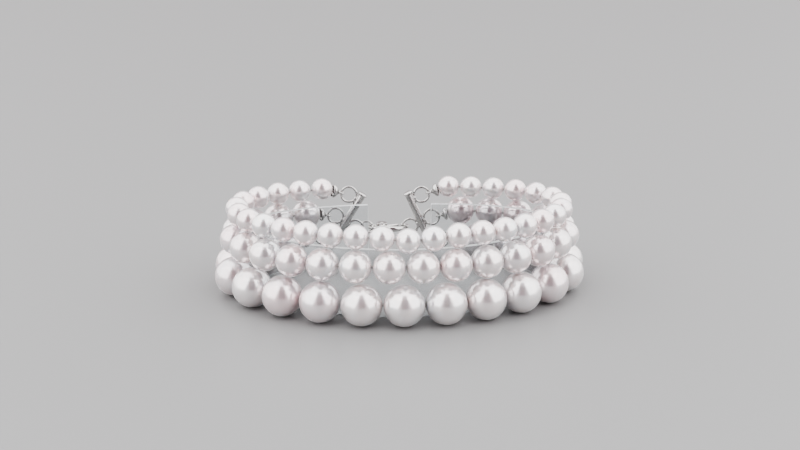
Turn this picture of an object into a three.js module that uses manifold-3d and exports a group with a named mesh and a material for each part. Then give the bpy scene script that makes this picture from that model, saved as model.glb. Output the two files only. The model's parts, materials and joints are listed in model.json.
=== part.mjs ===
// A bracelet of three graduated pearl strands, fastened round a clear display band.
// Millimetres, Z up. The front of the oval faces -Y, and the clasp is at the back, towards +Y.
import * as THREE from "three";
import { mergeVertices } from "three/addons/utils/BufferGeometryUtils.js";
import Module from "manifold-3d";

const wasm = await Module();
wasm.setup();

// Display band: its outer outline from above is half a superellipse in front and half behind.
const BAND_HALF_WIDTH = 31.1;
const BAND_FRONT_DEPTH = 21.0;
const BAND_BACK_DEPTH = 14.2;
const FRONT_EXPONENT = 1.92;
const BACK_EXPONENT = 2.34;
const BAND_WALL = 1.0;
const BAND_HEIGHT = 13.6;
const BAND_GAP = 14.0;
const BAND_GAP_CENTRE = 0.7;

// Pearls, from the bottom row up, and the play between them. The gap along a row is the least one:
// what is left over after the last whole pearl is shared out between all of them.
const PEARL_DIAMETERS = { bottom: 8.0, middle: 6.3, top: 4.8 };
const THREAD_DIAMETER = 0.8;
const PEARL_GAP = 0.2;
const BAND_PLAY = 0.15;
const ROW_PLAY = 0.1;

// The front of the top row sags between the pearls under it.
const FRONT_SAG = 0.65;
const SAG_SPREAD = 6.0;

// End bars with soldered rings. A bar's top leans towards the gap.
const BAR_DIAMETER = 1.7;
const BAR_END = 2.0;
const CAP_DIAMETER = 2.2;
const CAP_LENGTH = 0.8;
const BAR_TILT_DEGREES = { left: 33, right: 24 };
const RING_DIAMETER = 4.0;
const RING_WIRE = 0.55;
const RING_SPACING = 5.7;
const SOLDER_DEPTH = 0.2;

// Bead tips: a bell that covers the thread's knot, with a hook closed round a ring. Its run goes
// along the row, from the middle of the ring to the edge of the end pearl.
const TIP_RUN = { bottom: 4.39, middle: 3.51, top: 3.63 };
const HOOK_WIRE = 0.4;
const HOOK_PLAY = 0.175;
const BELL_MOUTH = 2.9;
const BELL_NECK = 0.9;
const TIP_PLAY = 0.12;

// Lobster clasp and the link that ties it to the left bar.
const CLASP_CENTRE_X = -2.9;
const CLASP_HEIGHT = 7.5;
const LINK_DIAMETER = 3.5;
const LINK_WIRE = 0.5;
const LINK_PLAY = 0.25;
const EYE_WIRE = 0.6;
const EYE_PLAY = 0.22;
const RIVET_TO_RING = 4.7;
const HUB_DIAMETER = 2.5;
const CHEEK = 0.5;
const RIVET_DIAMETER = 0.6;
const LEVER_THICKNESS = 0.7;
const LEVER_WALL = 0.23;
const LEVER_PLAY = 0.15;
const GATE_PLAY = 0.275;
const THUMB_REACH = 1.95;
const CLAW_ROOT = 1.7;
const CLAW_PLAY = 0.2;

// How finely round shapes are cut.
const PEARL_SIDES = 10;
const PEARL_BANDS = 6;
const RING_SIDES = 12;
const WIRE_SIDES = 5;
const ROUND_SIDES = 10;
const BAND_STEPS = 44;
const OUTLINE_STEPS = 360;
const MERGE_DISTANCE = 1e-4;
const SEARCH_STEPS = 22;

const UP = new THREE.Vector3(0, 0, 1);
const radians = THREE.MathUtils.degToRad;

const pearlFinish = new THREE.MeshStandardMaterial({ color: 0xf3ebe8, roughness: 0.2, metalness: 0.0 });
const silverFinish = new THREE.MeshStandardMaterial({ color: 0xd8d8da, roughness: 0.15, metalness: 1.0 });
const clearFinish = new THREE.MeshStandardMaterial({ color: 0xdfe4e6, roughness: 0.08, metalness: 0.0 });

// Merges shared corners and drops the triangles that collapse, so a shape is one closed shell.
function tidied(geometry) {
  const bare = geometry.clone();
  bare.deleteAttribute("normal");
  bare.deleteAttribute("uv");
  const merged = mergeVertices(bare, MERGE_DISTANCE);
  const corners = merged.index.array;
  const kept = [];
  for (let i = 0; i < corners.length; i += 3) {
    const [a, b, c] = [corners[i], corners[i + 1], corners[i + 2]];
    if (a !== b && b !== c && c !== a) {
      kept.push(a, b, c);
    }
  }
  merged.setIndex(kept);
  return merged;
}

function solidOf(geometry) {
  const closed = tidied(geometry);
  return new wasm.Manifold(new wasm.Mesh({
    numProp: 3,
    vertProperties: new Float32Array(closed.attributes.position.array),
    triVerts: new Uint32Array(closed.index.array),
  }));
}

function geometryOf(solid) {
  const mesh = solid.getMesh();
  const geometry = new THREE.BufferGeometry();
  geometry.setAttribute("position", new THREE.BufferAttribute(mesh.vertProperties, 3));
  geometry.setIndex(new THREE.BufferAttribute(mesh.triVerts, 1));
  return geometry;
}

function joined(geometries) {
  return geometries.map(solidOf).reduce((whole, piece) => whole.add(piece));
}

function named(name, geometry, finish) {
  const mesh = new THREE.Mesh(tidied(geometry), finish);
  mesh.geometry.computeVertexNormals();
  mesh.name = name;
  return mesh;
}

// A closed skin over a row of rings that all have the same number of points.
function loft(rings) {
  const sides = rings[0].length;
  const last = (rings.length - 1) * sides;
  const corners = [];
  for (let start = 0; start < last; start += sides) {
    for (let k = 0; k < sides; k++) {
      const here = start + k;
      const next = start + (k + 1) % sides;
      corners.push(here, here + sides, next, next, here + sides, next + sides);
    }
  }
  for (let k = 1; k + 1 < sides; k++) {
    corners.push(0, k, k + 1, last, last + k + 1, last + k);
  }
  const geometry = new THREE.BufferGeometry();
  const numbers = rings.flat().flatMap((point) => point.toArray());
  geometry.setAttribute("position", new THREE.Float32BufferAttribute(numbers, 3));
  geometry.setIndex(corners);
  return geometry;
}

// Points on a circle square to the tangent. The first lies straight below the centre.
function ringAt(centre, tangent, radius, sides) {
  const side = new THREE.Vector3().crossVectors(tangent, UP).normalize();
  const top = new THREE.Vector3().crossVectors(side, tangent).normalize();
  const points = [];
  for (let k = 0; k < sides; k++) {
    const turn = 2 * Math.PI * k / sides - Math.PI / 2;
    points.push(centre.clone()
      .addScaledVector(side, radius * Math.cos(turn))
      .addScaledVector(top, radius * Math.sin(turn)));
  }
  return points;
}

// A round bar of changing radius through level points, given as [x, y, radius].
function taperedBar(sections, sides) {
  const curve = new THREE.CatmullRomCurve3(sections.map(([x, y]) => new THREE.Vector3(x, y, 0)));
  const spans = sections.length - 1;
  const rings = sections.map(([, , radius], i) => (
    ringAt(curve.getPoint(i / spans), curve.getTangent(i / spans), radius, sides)));
  return loft(rings);
}

// A round body about Z, through profile points given as [radius, height] from the bottom up.
function turned(profile, sides) {
  const points = profile.map(([radius, height]) => new THREE.Vector2(radius, height));
  return new THREE.LatheGeometry(points, sides).rotateX(Math.PI / 2);
}

function disc(radius, height) {
  const half = height / 2;
  return turned([[0, -half], [radius, -half], [radius, half], [0, half]], ROUND_SIDES);
}

// A wire ring in the plane of X and Z. Its mean radius runs to the middle of the wire.
function wireRing(mean, wire, sides) {
  return new THREE.TorusGeometry(mean, wire / 2, WIRE_SIDES, sides).rotateX(Math.PI / 2);
}

// The band's outline, set outwards by a distance. It starts at the front and runs towards +X.
function outlineOf(outset) {
  const base = [];
  for (let k = 0; k < OUTLINE_STEPS; k++) {
    const turn = 2 * Math.PI * k / OUTLINE_STEPS;
    const across = Math.sin(turn);
    const ahead = Math.cos(turn);
    const power = 2 / (ahead > 0 ? FRONT_EXPONENT : BACK_EXPONENT);
    const depth = ahead > 0 ? -BAND_FRONT_DEPTH : BAND_BACK_DEPTH;
    base.push(new THREE.Vector3(
      BAND_HALF_WIDTH * Math.sign(across) * Math.abs(across) ** power,
      depth * Math.abs(ahead) ** power,
      0,
    ));
  }
  const points = base.map((point, k) => {
    const before = base.at(k - 1);
    const after = base[(k + 1) % OUTLINE_STEPS];
    const outward = new THREE.Vector3(after.y - before.y, before.x - after.x, 0).normalize();
    return point.clone().addScaledVector(outward, outset);
  });
  const curve = new THREE.CatmullRomCurve3(points, true);
  curve.arcLengthDivisions = 2 * OUTLINE_STEPS;
  return curve;
}

// The share of the outline's length at which its back half passes a given x.
function shareAtBack(curve, x) {
  let before = 0.3;
  let after = 0.7;
  for (let k = 0; k < SEARCH_STEPS; k++) {
    const middle = (before + after) / 2;
    if (curve.getPointAt(middle).x > x) {
      before = middle;
    } else {
      after = middle;
    }
  }
  return (before + after) / 2;
}

// Where the rings sit. Left and right mirror each other apart from the tilt.
const ringMean = (RING_DIAMETER - RING_WIRE) / 2;
const linkMean = (LINK_DIAMETER - LINK_WIRE) / 2;
const ringReach = (BAR_DIAMETER + RING_DIAMETER) / 2 - SOLDER_DEPTH;
const linkGrip = (RING_WIRE + LINK_WIRE) / 2 + LINK_PLAY;
const hookMean = (RING_WIRE + HOOK_WIRE) / 2 + HOOK_PLAY;
const eyeMean = Math.SQRT2 * (LINK_WIRE + EYE_WIRE) / 2 + EYE_PLAY;
const eyeToRivet = HUB_DIAMETER / 2 + eyeMean - EYE_WIRE / 4;
const claspSpan = 2 * ringMean - linkGrip + 2 * linkMean + eyeToRivet + RIVET_TO_RING;
const findingsY = BAND_BACK_DEPTH + BAND_PLAY + PEARL_DIAMETERS.top / 2;

function barPlace(side) {
  const sign = side === "left" ? -1 : 1;
  const tilt = radians(BAR_TILT_DEGREES[side]);
  const along = new THREE.Vector3(-sign * Math.sin(tilt), 0, Math.cos(tilt));
  const outward = new THREE.Vector3(sign * Math.cos(tilt), 0, Math.sin(tilt));
  const claspRing = new THREE.Vector3(CLASP_CENTRE_X + sign * claspSpan / 2, findingsY, CLASP_HEIGHT);
  const middle = claspRing.clone().addScaledVector(outward, ringReach);
  const rings = {};
  Object.keys(PEARL_DIAMETERS).forEach((row, level) => {
    rings[row] = middle.clone()
      .addScaledVector(along, (level - 1) * RING_SPACING)
      .addScaledVector(outward, ringReach);
  });
  return { sign, tilt, middle, claspRing, rings };
}

const bars = { left: barPlace("left"), right: barPlace("right") };

// The lowest height at which a pearl over this point clears the pearls of the row below.
function clearHeight(point, radius, below) {
  const reach = below.radius + radius + ROW_PLAY;
  let height = 0;
  for (const pearl of below.pearls) {
    const flat = Math.hypot(pearl.centre.x - point.x, pearl.centre.y - point.y);
    if (flat < reach) {
      height = Math.max(height, pearl.centre.z + Math.sqrt(reach ** 2 - flat ** 2));
    }
  }
  return height;
}

// One row: as many pearls as fit between its two bead tips, evenly spaced.
function threadedRow(name, below) {
  const radius = PEARL_DIAMETERS[name] / 2;
  const curve = outlineOf(BAND_PLAY + radius);
  const length = curve.getLength();
  const right = shareAtBack(curve, bars.right.rings[name].x) * length;
  const left = (shareAtBack(curve, bars.left.rings[name].x) - 1) * length;
  const strung = right - left - 2 * TIP_RUN[name];
  const count = Math.floor((strung + PEARL_GAP) / (2 * radius + PEARL_GAP));
  const pitch = (strung - 2 * radius) / (count - 1);
  const level = below
    ? below.level + Math.sqrt((below.radius + radius + ROW_PLAY) ** 2 - (below.radius - radius) ** 2)
    : radius;
  const sag = name === "top" ? FRONT_SAG : 0;
  const pearls = [];
  for (let k = 0; k < count; k++) {
    const run = (left + right) / 2 + (k - (count - 1) / 2) * pitch;
    const share = (run / length + 1) % 1;
    const centre = curve.getPointAt(share);
    const sunk = level - sag * Math.exp(-((run / SAG_SPREAD) ** 2));
    centre.z = below ? Math.max(sunk, clearHeight(centre, radius, below)) : sunk;
    pearls.push({ centre, tangent: curve.getTangentAt(share) });
  }
  return { name, radius, level, pearls };
}

function strandGeometry(row) {
  const thread = THREAD_DIAMETER / 2;
  const pole = Math.sqrt(row.radius ** 2 - thread ** 2);
  const profile = [[-pole, thread]];
  for (let k = 1; k < PEARL_BANDS; k++) {
    const turn = Math.PI * k / PEARL_BANDS;
    profile.push([-row.radius * Math.cos(turn), row.radius * Math.sin(turn)]);
  }
  profile.push([pole, thread]);
  const rings = row.pearls.flatMap(({ centre, tangent }) => profile.map(([along, radius]) => (
    ringAt(centre.clone().addScaledVector(tangent, along), tangent, radius, PEARL_SIDES))));
  return loft(rings);
}

// The bell points from the hook to the end pearl, and the hook stands square to the ring's wire.
function beadTip(side, row) {
  const ring = bars[side].rings[row.name];
  const pearl = row.pearls.at(side === "left" ? 0 : -1).centre;
  const outward = new THREE.Vector3(pearl.x - ring.x, 0, pearl.z - ring.z).normalize();
  const grip = ring.clone().addScaledVector(outward, ringMean);
  const axis = pearl.clone().sub(grip);
  const length = axis.length() - row.radius - TIP_PLAY - hookMean;
  axis.normalize();
  const neck = BELL_NECK / 2;
  const mouth = BELL_MOUTH / 2;
  const bell = turned([
    [0, -HOOK_WIRE / 4],
    [neck, -HOOK_WIRE / 4],
    [neck + 0.35 * (mouth - neck), 0.25 * length],
    [neck + 0.8 * (mouth - neck), 0.5 * length],
    [mouth, 0.8 * length],
    [0.9 * mouth, length],
    [0, length],
  ], ROUND_SIDES);
  bell.translate(0, 0, hookMean);
  bell.applyQuaternion(new THREE.Quaternion().setFromUnitVectors(UP, axis));
  const hook = wireRing(hookMean, HOOK_WIRE, ROUND_SIDES).rotateX(Math.PI / 2);
  hook.rotateY(-Math.atan2(outward.z, outward.x));
  const tip = named(`bead_tip_${side}_${row.name}`, geometryOf(joined([bell, hook])), silverFinish);
  tip.position.copy(grip);
  return tip;
}

// The bar is built upright with its rings in the plane of X and Z, strands towards +X, then tilted.
function endBar(side) {
  const { sign, tilt, middle } = bars[side];
  const end = RING_SPACING + BAR_END;
  const tube = BAR_DIAMETER / 2;
  const cap = CAP_DIAMETER / 2;
  const shaft = turned([
    [0, -end],
    [tube, -end],
    [cap, CAP_LENGTH / 2 - end],
    [tube, CAP_LENGTH - end],
    [tube, end - CAP_LENGTH],
    [cap, end - CAP_LENGTH / 2],
    [tube, end],
    [0, end],
  ], ROUND_SIDES);
  const pieces = [shaft];
  for (const level of [-1, 0, 1]) {
    pieces.push(wireRing(ringMean, RING_WIRE, RING_SIDES)
      .translate(sign * ringReach, 0, level * RING_SPACING));
  }
  pieces.push(wireRing(ringMean, RING_WIRE, RING_SIDES).translate(-sign * ringReach, 0, 0));
  const bar = named(`end_bar_${side}`, geometryOf(joined(pieces)), silverFinish);
  bar.position.copy(middle);
  bar.rotation.y = -sign * tilt;
  return bar;
}

// The clasp lies level. Its own origin is the rivet, and its nose points to +X.
const slotHeight = LEVER_THICKNESS + 2 * LEVER_PLAY;
const claspThickness = slotHeight + 2 * CHEEK;
const leverHubRadius = RIVET_DIAMETER / 2 + LEVER_PLAY + LEVER_WALL;

// The claw runs from the hub round the nose to its tip. Places are shares of the nose's distance
// from the rivet, and the last column is the share of the thickness at the root.
const CLAW_SECTIONS = [
  [-0.06, -0.12, 1.0],
  [0.18, -0.31, 0.92],
  [0.5, -0.38, 0.8],
  [0.8, -0.29, 0.66],
  [0.98, -0.1, 0.56],
  [1.01, 0.08, 0.52],
  [0.93, 0.21, 0.47],
  [0.77, 0.27, 0.39],
];
const NOSE_THICKNESS = 0.56 * CLAW_ROOT;
const nose = RIVET_TO_RING + (RING_WIRE + NOSE_THICKNESS) / 2 + CLAW_PLAY;
const gateLength = RIVET_TO_RING - RING_WIRE / 2 - GATE_PLAY;
const [clawTipX, clawTipY] = CLAW_SECTIONS.at(-1);
const gateAngle = Math.atan2(clawTipY, clawTipX);

function claspBody() {
  const hub = disc(HUB_DIAMETER / 2, claspThickness);
  const eye = wireRing(eyeMean, EYE_WIRE, RING_SIDES)
    .rotateX(Math.PI / 2)
    .translate(-eyeToRivet, 0, 0);
  const claw = taperedBar(
    CLAW_SECTIONS.map(([x, y, share]) => [x * nose, y * nose, share * CLAW_ROOT / 2]),
    ROUND_SIDES,
  );
  const slotEdge = leverHubRadius + LEVER_PLAY;
  const slotDepth = slotEdge + HUB_DIAMETER;
  const slot = new THREE.BoxGeometry(slotDepth, slotDepth, slotHeight)
    .translate(slotDepth / 2 - slotEdge, slotDepth / 2 - slotEdge, 0);
  const rivet = disc(RIVET_DIAMETER / 2, claspThickness);
  const body = joined([hub, eye, claw]).subtract(solidOf(slot)).add(solidOf(rivet));
  return named("clasp_body", geometryOf(body), silverFinish);
}

// The gate shuts the claw from inside, and the thumb piece stands out beside the hub.
function claspLever() {
  const half = LEVER_THICKNESS / 2;
  const hub = disc(leverHubRadius, LEVER_THICKNESS);
  const gate = taperedBar([[0, 0, half], [gateLength, 0, 0.8 * half]], ROUND_SIDES).rotateZ(gateAngle);
  const thumb = taperedBar([
    [0.1 * THUMB_REACH, 0, half],
    [0.08 * THUMB_REACH, 0.5 * THUMB_REACH, 0.9 * half],
    [0.02 * THUMB_REACH, 0.85 * THUMB_REACH, 1.25 * half],
    [0, THUMB_REACH, 0.8 * half],
  ], ROUND_SIDES);
  const bore = disc(RIVET_DIAMETER / 2 + LEVER_PLAY, claspThickness);
  const lever = joined([hub, gate, thumb]).subtract(solidOf(bore));
  return named("clasp_lever", geometryOf(lever), silverFinish);
}

// The link leans halfway between the ring's wire and the clasp's eye, so that it passes both.
function claspLink() {
  const leaning = wireRing(linkMean, LINK_WIRE, RING_SIDES).rotateX(-Math.PI / 4);
  return named("clasp_link", leaning, silverFinish);
}

function displayBand() {
  const outer = outlineOf(0);
  const inner = outlineOf(-BAND_WALL);
  const right = BAND_GAP_CENTRE + BAND_GAP / 2;
  const left = BAND_GAP_CENTRE - BAND_GAP / 2;
  const walk = (curve, k) => {
    const start = shareAtBack(curve, left) - 1;
    const end = shareAtBack(curve, right);
    const point = curve.getPointAt((start + (end - start) * k / BAND_STEPS + 1) % 1);
    return new THREE.Vector2(point.x, point.y);
  };
  const points = [];
  for (let k = 0; k <= BAND_STEPS; k++) {
    points.push(walk(outer, k));
  }
  for (let k = BAND_STEPS; k >= 0; k--) {
    points.push(walk(inner, k));
  }
  const strip = new THREE.ExtrudeGeometry(new THREE.Shape(points), {
    depth: BAND_HEIGHT,
    bevelEnabled: false,
  });
  return named("display_band", strip, clearFinish);
}

function placedClasp() {
  const rivetX = bars.right.claspRing.x - ringMean - RIVET_TO_RING;
  const clasp = new THREE.Group();
  clasp.add(claspBody(), claspLever());
  clasp.position.set(rivetX, findingsY, CLASP_HEIGHT);
  const link = claspLink();
  link.position.set(rivetX - eyeToRivet - linkMean, findingsY, CLASP_HEIGHT);
  return [clasp, link];
}

const bracelet = new THREE.Group();
bracelet.add(displayBand());
let below = null;
for (const name of Object.keys(PEARL_DIAMETERS)) {
  const row = threadedRow(name, below);
  bracelet.add(named(`pearl_strand_${name}`, strandGeometry(row), pearlFinish));
  bracelet.add(beadTip("left", row), beadTip("right", row));
  below = row;
}
bracelet.add(endBar("left"), endBar("right"), ...placedClasp());

// The origin goes to the middle of the footprint, on the surface that the bracelet stands on.
bracelet.updateMatrixWorld(true);
const middle = new THREE.Box3().setFromObject(bracelet, true).getCenter(new THREE.Vector3());
bracelet.position.set(-middle.x, -middle.y, 0);

export default bracelet;
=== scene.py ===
import json
import math

import bmesh
import bpy
import numpy as np
from bpy.props import FloatProperty, FloatVectorProperty, IntProperty, PointerProperty
from mathutils import Matrix, Vector


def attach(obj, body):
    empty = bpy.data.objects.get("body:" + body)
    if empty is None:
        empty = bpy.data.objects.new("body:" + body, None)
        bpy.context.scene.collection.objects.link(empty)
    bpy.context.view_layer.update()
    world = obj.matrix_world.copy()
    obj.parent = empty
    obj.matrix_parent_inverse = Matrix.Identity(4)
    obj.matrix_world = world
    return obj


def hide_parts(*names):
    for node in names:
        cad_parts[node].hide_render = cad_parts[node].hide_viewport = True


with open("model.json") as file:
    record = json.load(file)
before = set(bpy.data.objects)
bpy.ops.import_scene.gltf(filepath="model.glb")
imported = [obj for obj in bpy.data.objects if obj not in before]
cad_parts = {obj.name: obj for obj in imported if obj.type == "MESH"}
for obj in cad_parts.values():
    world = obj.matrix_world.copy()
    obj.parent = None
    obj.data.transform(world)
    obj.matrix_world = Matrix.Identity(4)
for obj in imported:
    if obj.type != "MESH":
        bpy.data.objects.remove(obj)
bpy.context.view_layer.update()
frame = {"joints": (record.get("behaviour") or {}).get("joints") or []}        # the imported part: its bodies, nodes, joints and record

bl_info = {
    "name": "Pearl Bracelet",
    "version": (1, 0, 0),
    "blender": (4, 5, 0),
    "location": "View3D > Sidebar > Bracelet",
    "description": "Dresses a three-strand pearl bracelet and its clear display band",
    "category": "Object",
}

MM = 0.001
ROWS = ("bottom", "middle", "top")
SIDES = {"left": -1, "right": 1}
HINGE = next(joint for joint in frame["joints"] if joint["name"] == "clasp_lever_hinge")
RIVET = Vector(HINGE["pos_m"])
UP = Vector((0.0, 0.0, 1.0))
TO_CLASP = Vector((0.0, 1.0, 0.0))

# How finely round things are cut.
OUTLINE_STEPS = 1440
BAND_STEPS = 220
PEARL_SEGMENTS = 48
PEARL_RINGS = 24
ROUND_SEGMENTS = 40
WIRE_SEGMENTS = 16
CLAW_SEGMENTS = 28
FLOOR_SEGMENTS = 64
BEVEL_SEGMENTS = 3
EDGE_STEPS = 6
RING_STEPS = 64
SHAPE_STEPS = 24
CLAW_STEPS = 60
WELD = 1e-7
BAR_VOXEL = 0.075 * MM
CLASP_VOXEL = 0.055 * MM

# Edges that turn by more degrees than this stay sharp.
METAL_SHARP = 50.0
PEARL_SHARP = 70.0
BAND_SHARP = 10.0

# Strands: the least gap as a share of the widest, how far the thread's ends are drawn in, and what
# is added to the seed of the sizes for that of the tints.
LEAST_GAP = 0.001
THREAD_TUCK = 0.4
TINT_SEED_STEP = 100.0

# Wires: the share of the radius left at a cut end, and turns in degrees.
WIRE_END = 0.55
HOOK_SWEEP = math.radians(330)
LINK_START = math.radians(20)
LINK_SWEEP = math.radians(357)

# Bead tips: shares of the bell's height and of its widening, and the first step with a hollow.
BELL_FLARE = [(0.0, 0.0), (0.25, 0.35), (0.5, 0.8), (0.8, 1.0), (1.0, 0.9)]
BELL_FLOOR = 4

# Solder and rivet heads: radius as a share of the wire's or rivet's diameter, and flatness.
SOLDER = (0.85, 0.8)
RIVET_HEAD = (0.62, 0.35)

# The claw runs from the hub round the nose to its tip. Places are shares of the nose's distance
# from the rivet, and the last column is the share of the thickness at the root.
CLAW_SECTIONS = [
    (-0.06, -0.12, 1.0),
    (0.18, -0.31, 0.92),
    (0.5, -0.38, 0.8),
    (0.8, -0.29, 0.66),
    (0.98, -0.1, 0.56),
    (1.01, 0.08, 0.52),
    (0.93, 0.21, 0.47),
    (0.77, 0.27, 0.39),
]
NOSE_SHARE = 0.56
CLAW_END = 0.7
CLAW_FLATNESS = 0.92
HUB_EDGE = 0.3
RIVET_EDGE = 0.05 * MM

# The lever: places as shares of its reach, and the last column is the share of half its thickness.
GATE_ROWS = [(0.0, 1.0), (0.5, 0.96), (0.9, 0.86), (1.0, 0.6)]
THUMB_ROWS = [(0.1, 0.0, 1.0), (0.08, 0.5, 0.9), (0.02, 0.85, 1.25), (0.0, 1.0, 0.7)]
GATE_FLATNESS = 0.95
LEVER_EDGE = 0.2
BORE_EDGE = 0.1

# Handling marks: scales of smudges and scratches, roughness clean and smudged, scratches' depth.
PEARL_MARKS = (420.0, 2600.0, 0.17, 0.24, 0.003 * MM)
SILVER_MARKS = (600.0, 4000.0, 0.12, 0.26, 0.01 * MM)
PLASTIC_MARKS = (120.0, 900.0, 0.02, 0.09, 0.003 * MM)
SAWN_MARKS = (500.0, 2500.0, 0.35, 0.55, 0.01 * MM)
SCRATCH_STRENGTH = 0.3

# Metal and thread between two tones: the darker one as a share of the lighter.
DULL_SILVER = 0.86
# The thread's darker tone is painted shade in the grooves of its twist.
THREAD_GROOVE_SHADE = 0.7

# The stage, in metres, and its tent: the slit's half width at its foot and its narrowing upwards,
# where it ends, how soft its edge is, and where the back slit ends and how light it is.
FLOOR_RADIUS = 12.0
FLOOR_THICKNESS = 0.01
SIDE_DISTANCE = 0.6
SIDE_SIZE = (0.85, 0.85)
TOP_HEIGHT = 1.5
TOP_SIZE = (2.4, 2.4)
SLIT_FOOT = 0.62
SLIT_TAPER = 0.38
SLIT_TOP = 1.3
SLIT_BLUR = 0.05
BACK_SLIT_TOP = 0.6
BACK_SLIT_LIFT = 0.3
EXPOSURE = 0.35


def length(name, description, millimetres):
    """A length in metres whose default is written in millimetres."""
    return FloatProperty(name=name, description=description, default=millimetres * MM,
                         precision=6, unit="LENGTH")


def angle(name, description, degrees):
    """An angle whose default is written in degrees."""
    return FloatProperty(name=name, description=description, default=math.radians(degrees),
                         subtype="ANGLE")


def share(name, description, default):
    """A plain number, such as an exponent or a weight."""
    return FloatProperty(name=name, description=description, default=default, precision=4)


def colour(name, description, default):
    """A colour in linear light."""
    return FloatVectorProperty(name=name, description=description, default=default,
                               size=3, min=0.0, max=1.0, subtype="COLOR")


class BandSizes(bpy.types.PropertyGroup):
    half_width: length("Half width", "Half of the band's outer width", 31.1)
    front_depth: length("Front depth", "From the oval's middle line to its front", 21.0)
    back_depth: length("Back depth", "From the oval's middle line to its back", 14.2)
    front_exponent: share("Front exponent", "Squareness of the front half, 2 is an ellipse", 1.92)
    back_exponent: share("Back exponent", "Squareness of the back half, 2 is an ellipse", 2.34)
    wall: length("Wall", "Thickness of the clear plastic", 1.0)
    height: length("Height", "Height of the band", 13.6)
    gap: length("Gap", "Width of the opening at the back", 14.0)
    gap_centre: length("Gap centre", "Middle of the opening along X", 0.7)
    edge: length("Edge", "Rounding of the cut edges", 0.16)


class PearlSizes(bpy.types.PropertyGroup):
    bottom: length("Bottom pearl", "Diameter of the pearls of the bottom row", 8.0)
    middle: length("Middle pearl", "Diameter of the pearls of the middle row", 6.3)
    top: length("Top pearl", "Diameter of the pearls of the top row", 4.8)
    gap: length("Gap", "Least gap between two pearls of a row", 0.2)
    band_play: length("Band play", "Gap between the pearls and the band", 0.15)
    row_play: length("Row play", "Gap between pearls of two rows", 0.1)
    thread: length("Thread", "Diameter of the thread", 0.45)
    drill: length("Drill hole", "Radius of the dimple round the drill hole", 0.75)
    dimple: length("Dimple", "Depth of the dimple round the drill hole", 0.1)
    sag: length("Sag", "How far the front of the top row sags", 0.65)
    sag_spread: length("Sag spread", "Run over which the sag fades away", 6.0)
    gathered: length("Gathered", "Run over which the pearls are pushed together at the front", 16.0)
    unevenness: share("Unevenness", "Share by which a pearl may be smaller than its row", 0.006)
    seed: IntProperty(name="Seed", description="Seed for the pearls' small differences", default=7)


class FindingSizes(bpy.types.PropertyGroup):
    bar_diameter: length("Bar", "Diameter of the end bars", 1.7)
    bar_end: length("Bar end", "From the outer rings' middle to the end of a bar", 2.0)
    cap_diameter: length("Cap", "Diameter of the bars' rounded caps", 2.2)
    cap_length: length("Cap length", "Length of the bars' rounded caps", 0.8)
    left_tilt: angle("Left tilt", "How far the left bar leans towards the gap", 33.0)
    right_tilt: angle("Right tilt", "How far the right bar leans towards the gap", 24.0)
    ring_diameter: length("Ring", "Outer diameter of the soldered rings", 4.0)
    ring_wire: length("Ring wire", "Thickness of the rings' wire", 0.55)
    ring_spacing: length("Ring spacing", "From ring to ring along a bar", 5.7)
    solder_depth: length("Solder", "How far a ring is sunk in the bar", 0.2)
    hook_wire: length("Hook wire", "Thickness of the bead tips' hooks", 0.4)
    hook_play: length("Hook play", "Gap between a hook and its ring", 0.175)
    bell_mouth: length("Bell mouth", "Widest diameter of a bead tip", 2.9)
    bell_neck: length("Bell neck", "Diameter of a bead tip at its hook", 0.9)
    bell_wall: length("Bell wall", "Thickness of a bead tip's wall", 0.18)
    bottom_run: length("Bottom tip run", "Run of the bottom row's bead tips", 4.39)
    middle_run: length("Middle tip run", "Run of the middle row's bead tips", 3.51)
    top_run: length("Top tip run", "Run of the top row's bead tips", 3.63)
    tip_play: length("Tip play", "Gap between a bead tip and its pearl", 0.12)


class ClaspSizes(bpy.types.PropertyGroup):
    centre_x: length("Centre", "Middle of the clasp and its link along X", -2.9)
    link_diameter: length("Link", "Outer diameter of the link", 3.5)
    link_wire: length("Link wire", "Thickness of the link's wire", 0.5)
    link_play: length("Link play", "Gap between the link and the bar's ring", 0.25)
    eye_wire: length("Eye wire", "Thickness of the clasp's eye", 0.6)
    eye_play: length("Eye play", "Gap between the eye and the link", 0.22)
    rivet_to_ring: length("Rivet to ring", "From the rivet to the held ring's wire", 4.7)
    hub_diameter: length("Hub", "Diameter of the clasp's hub", 2.5)
    cheek: length("Cheek", "Thickness of each cheek beside the lever", 0.5)
    rivet_diameter: length("Rivet", "Diameter of the rivet", 0.6)
    lever_thickness: length("Lever", "Thickness of the lever", 0.7)
    lever_wall: length("Lever wall", "Metal round the lever's bore", 0.23)
    lever_play: length("Lever play", "Gap round the lever and its bore", 0.15)
    gate_play: length("Gate play", "Gap between the gate and the held ring", 0.275)
    thumb_reach: length("Thumb reach", "From the rivet to the end of the thumb piece", 1.95)
    claw_root: length("Claw root", "Thickness of the claw at its root", 1.7)
    claw_play: length("Claw play", "Gap between the claw's nose and the held ring", 0.2)


class Finishes(bpy.types.PropertyGroup):
    nacre: colour("Nacre", "Body colour of the pearls", (0.95, 0.895, 0.89))
    rose: colour("Rose", "Warm overtone of the pearls", (0.95, 0.79, 0.81))
    cool: colour("Cool", "Cool overtone of the pearls", (0.88, 0.90, 0.915))
    silver: colour("Silver", "Colour of the polished findings", (0.66, 0.65, 0.64))
    plastic: colour("Plastic", "Colour of the clear band", (0.93, 0.95, 0.96))
    thread: colour("Thread", "Colour of the thread", (0.72, 0.70, 0.68))


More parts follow.
